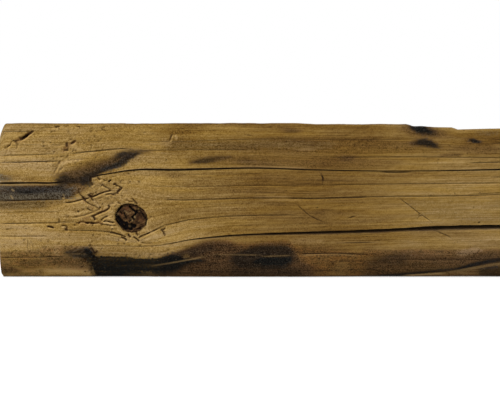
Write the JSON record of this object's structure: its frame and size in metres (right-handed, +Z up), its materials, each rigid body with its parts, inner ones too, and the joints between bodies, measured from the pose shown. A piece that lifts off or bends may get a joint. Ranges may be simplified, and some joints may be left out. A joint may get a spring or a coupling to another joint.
{
  "type": "reclaimed wood beam",
  "caption": "Squared reclaimed wood beam with a wane edge, drying checks and a dead knot, sawn flat underneath, for a mantel shelf or ceiling trim.",
  "frame": {"origin": "middle of the sawn underside", "axes": "+X along the beam from the pictured left end, -Y out of the pictured face, +Z up"},
  "size_m": [1.524, 0.155, 0.155],
  "materials": {
    "weathered_wood": "bare weathered softwood, brushed, with dark water and iron stains"
  },
  "bodies": {
    "root": {"beam": "weathered_wood"}
  },
  "joints": []
}
